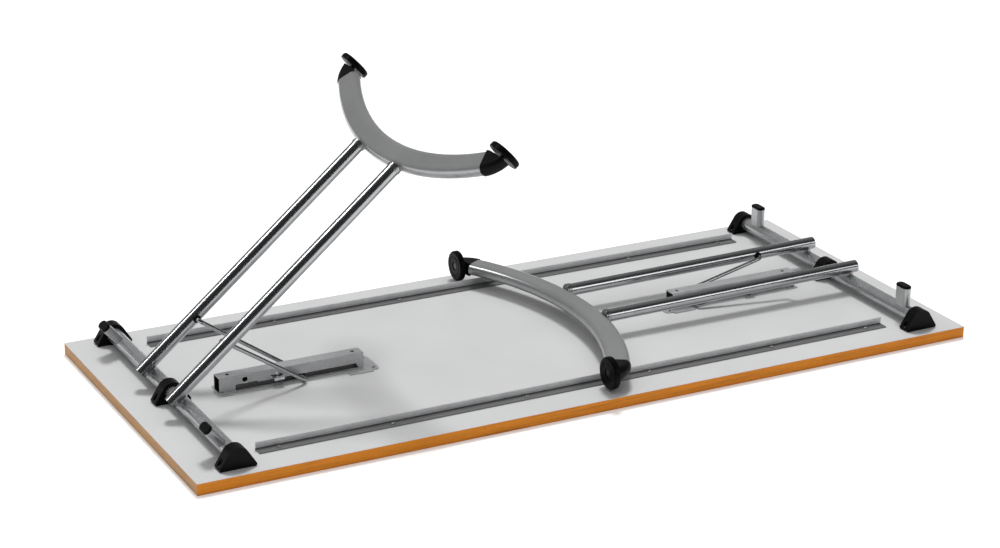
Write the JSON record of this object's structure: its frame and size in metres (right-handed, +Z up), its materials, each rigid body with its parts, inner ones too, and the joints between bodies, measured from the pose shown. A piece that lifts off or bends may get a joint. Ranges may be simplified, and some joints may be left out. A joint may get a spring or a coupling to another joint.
{
  "type": "folding table",
  "caption": "Folding conference table lying upside down on its top, with two folding tubular legs on curved foot bars, sliding stays and round glides.",
  "frame": {"origin": "middle of the table top's outer face, which the table lies on", "axes": "+X along the board to the right leg, +Y across the board, +Z up from the face it lies on, out of the board's underside"},
  "size_m": [1.6, 0.7, 0.5331],
  "materials": {
    "core": "fibreboard core, hidden inside the board",
    "laminate": "light grey laminate, satin",
    "edge_wood": "orange-brown wood edge, lacquered",
    "zinc": "zinc-plated sheet steel",
    "screw_steel": "zinc-plated",
    "lever_steel": "bright plated steel",
    "black_plastic": "black moulded plastic",
    "glide_plastic": "black moulded plastic",
    "nylon": "dark nylon",
    "chrome": "satin chrome plate",
    "weld": "plated weld metal",
    "satin_steel": "satin silver coat"
  },
  "bodies": {
    "table_top": {"board_core": "core", "bracket_screws": "screw_steel", "channel_screws": "screw_steel", "far_edge_band": "edge_wood", "far_rail": "zinc", "left_channel": "zinc", "left_edge_band": "edge_wood", "left_far_bracket": "black_plastic", "left_latch_pin": "screw_steel", "left_middle_bracket": "black_plastic", "left_near_bracket": "black_plastic", "near_edge_band": "edge_wood", "near_rail": "zinc", "rail_screws": "screw_steel", "right_channel": "zinc", "right_edge_band": "edge_wood", "right_far_bracket": "black_plastic", "right_latch_pin": "screw_steel", "right_middle_bracket": "black_plastic", "right_near_bracket": "black_plastic", "top_laminate": "laminate", "underside_laminate": "laminate"},
    "left_leg": {"left_axle": "chrome", "left_far_foot_cap": "black_plastic", "left_far_leg_tube": "chrome", "left_far_post": "chrome", "left_far_post_cap": "black_plastic", "left_foot_bar": "satin_steel", "left_grommets": "black_plastic", "left_near_foot_cap": "black_plastic", "left_near_leg_tube": "chrome", "left_near_post": "chrome", "left_near_post_cap": "black_plastic", "left_welds": "weld"},
    "left_far_glide_foot": {"left_far_glide": "glide_plastic", "left_far_glide_stem": "screw_steel"},
    "left_latch": {"left_latch_lever": "lever_steel"},
    "left_near_glide_foot": {"left_near_glide": "glide_plastic", "left_near_glide_stem": "screw_steel"},
    "left_slider": {"left_slide_block": "nylon"},
    "left_stay": {"left_stay_rod": "chrome"},
    "right_leg": {"right_axle": "chrome", "right_far_foot_cap": "black_plastic", "right_far_leg_tube": "chrome", "right_far_post": "chrome", "right_far_post_cap": "black_plastic", "right_foot_bar": "satin_steel", "right_grommets": "black_plastic", "right_near_foot_cap": "black_plastic", "right_near_leg_tube": "chrome", "right_near_post": "chrome", "right_near_post_cap": "black_plastic", "right_welds": "weld"},
    "right_far_glide_foot": {"right_far_glide": "glide_plastic", "right_far_glide_stem": "screw_steel"},
    "right_latch": {"right_latch_lever": "lever_steel"},
    "right_near_glide_foot": {"right_near_glide": "glide_plastic", "right_near_glide_stem": "screw_steel"},
    "right_slider": {"right_slide_block": "nylon"},
    "right_stay": {"right_stay_rod": "chrome"}
  },
  "joints": [
    {"name": "left_leg_fold", "type": "hinge", "parent": "table_top", "child": "left_leg", "pos_m": [-0.715, 0, 0.041], "axis": [0, -1, 0], "range_deg": [-41, 49]},
    {"name": "left_slider_run", "type": "slide", "parent": "table_top", "child": "left_slider", "axis": [-1, 0, 0], "range_m": [-0.10495, 0.12533]},
    {"name": "left_stay_swing", "type": "hinge", "parent": "left_slider", "child": "left_stay", "pos_m": [-0.46458, 0, 0.0285], "axis": [0, 1, 0], "range_deg": [-7.43, 8.82]},
    {"name": "left_latch_lift", "type": "hinge", "parent": "table_top", "child": "left_latch", "pos_m": [-0.513, 0, 0.044], "axis": [0, 1, 0], "range_deg": [0, 6], "stiffness_Nm_per_rad": 0.6, "springref_deg": -17.19},
    {"name": "left_near_glide_adjust", "type": "slide", "parent": "left_leg", "child": "left_near_glide_foot", "axis": [0.7547, 0, 0.6561], "range_m": [-0.003, 0.008]},
    {"name": "left_far_glide_adjust", "type": "slide", "parent": "left_leg", "child": "left_far_glide_foot", "axis": [0.7547, 0, 0.6561], "range_m": [-0.003, 0.008]},
    {"name": "right_leg_fold", "type": "hinge", "parent": "table_top", "child": "right_leg", "pos_m": [0.715, 0, 0.041], "axis": [0, 1, 0], "range_deg": [0, 90]},
    {"name": "right_slider_run", "type": "slide", "parent": "table_top", "child": "right_slider", "axis": [1, 0, 0], "range_m": [0, 0.20622]},
    {"name": "right_stay_swing", "type": "hinge", "parent": "right_slider", "child": "right_stay", "pos_m": [0.38369, 0, 0.0285], "axis": [0, -1, 0], "range_deg": [0, 32.2]},
    {"name": "right_latch_lift", "type": "hinge", "parent": "table_top", "child": "right_latch", "pos_m": [0.513, 0, 0.044], "axis": [0, -1, 0], "range_deg": [0, 6], "stiffness_Nm_per_rad": 0.6, "springref_deg": -17.19},
    {"name": "right_near_glide_adjust", "type": "slide", "parent": "right_leg", "child": "right_near_glide_foot", "axis": [-1, 0, 0], "range_m": [-0.003, 0.008]},
    {"name": "right_far_glide_adjust", "type": "slide", "parent": "right_leg", "child": "right_far_glide_foot", "axis": [-1, 0, 0], "range_m": [-0.003, 0.008]}
  ],
  "couplings": [
    {"joint": "left_slider_run", "follows": "left_leg_fold", "m_per_rad": 0.14597},
    {"joint": "left_stay_swing", "follows": "left_leg_fold", "ratio": 0.17391},
    {"joint": "right_slider_run", "follows": "right_leg_fold", "m_per_rad": 0.13097},
    {"joint": "right_stay_swing", "follows": "right_leg_fold", "ratio": 0.3545}
  ]
}
